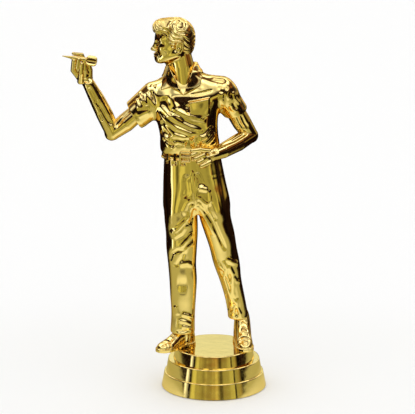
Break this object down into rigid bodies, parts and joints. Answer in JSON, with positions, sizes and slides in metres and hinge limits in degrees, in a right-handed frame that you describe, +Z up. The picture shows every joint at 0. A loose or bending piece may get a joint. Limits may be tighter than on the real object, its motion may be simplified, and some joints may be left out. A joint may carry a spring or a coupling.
{
  "type": "figure trophy",
  "caption": "Bright gold figure trophy: a darts player with one dart raised to throw and the other hand at the belt, on a round stepped plinth with a nut for a column rod.",
  "frame": {"origin": "centre of the plinth's underside, which is the lower end of the mounting nut's thread", "axes": "+Z up, -Y the way the player's chest faces, -X the way the player looks and aims"},
  "size_m": [0.0726, 0.038, 0.1357],
  "materials": {
    "gold_plating": "mirror-bright vacuum-metallised gold over moulded plastic",
    "bare_plastic": "unplated moulded polystyrene",
    "nut_steel": "zinc-plated steel",
    "screw_steel": "plain bright steel"
  },
  "bodies": {
    "root": {"plinth_shell": "gold_plating", "mounting_nut": "nut_steel", "foot_screws": "screw_steel", "right_shoe": "gold_plating", "left_shoe": "gold_plating", "right_trouser_leg": "gold_plating", "left_trouser_leg": "gold_plating", "belt": "gold_plating", "belt_buckle": "gold_plating", "shirt_front_shell": "gold_plating", "shirt_rear_shell": "gold_plating", "seam_dowels": "bare_plastic", "shirt_collar": "gold_plating", "head": "gold_plating", "right_arm": "gold_plating", "left_arm": "gold_plating", "dart_body": "gold_plating", "dart_flight": "gold_plating"}
  },
  "joints": []
}
